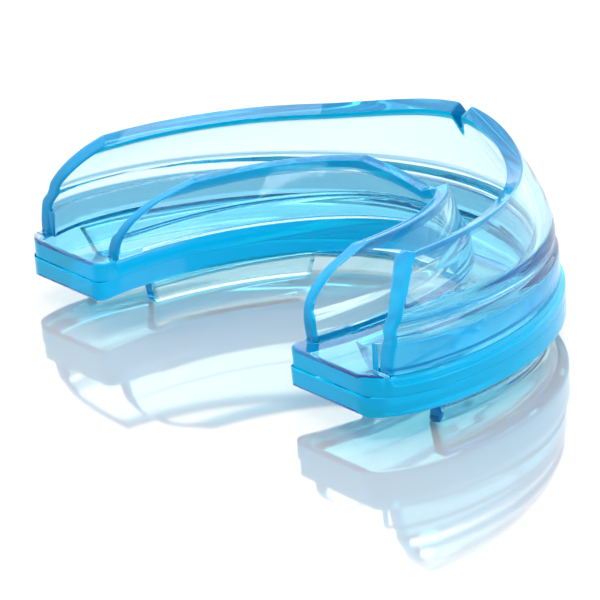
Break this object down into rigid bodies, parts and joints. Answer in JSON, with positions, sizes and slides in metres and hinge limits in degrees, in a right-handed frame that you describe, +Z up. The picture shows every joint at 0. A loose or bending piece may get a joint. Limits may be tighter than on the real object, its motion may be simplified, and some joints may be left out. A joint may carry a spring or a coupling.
{
  "type": "mouth guard",
  "caption": "U-shaped clear blue mouth guard: thick two-layer bite plate, tall curled outer shield, lower leaning inner wall and shallow ribs underneath.",
  "frame": {"origin": "under the middle of the guard's box, on the surface that its lower ribs rest on", "axes": "+X across the mouth, +Y from the arm ends to the front of the mouth, +Z up from the lower ribs to the shield's rim"},
  "size_m": [0.0706, 0.0438, 0.0212],
  "materials": {
    "clear_wall": "clear soft silicone tinted cyan, glossy",
    "clear_plate": "clear soft silicone tinted cyan, thick enough to look deep blue, glossy"
  },
  "bodies": {
    "root": {"outer_shield": "clear_wall", "shield_foot": "clear_wall", "inner_wall": "clear_wall", "upper_bite_layer": "clear_plate", "lower_bite_layer": "clear_plate", "lower_outer_rib": "clear_wall", "lower_inner_rib_right": "clear_wall", "lower_inner_rib_left": "clear_wall"}
  },
  "joints": []
}
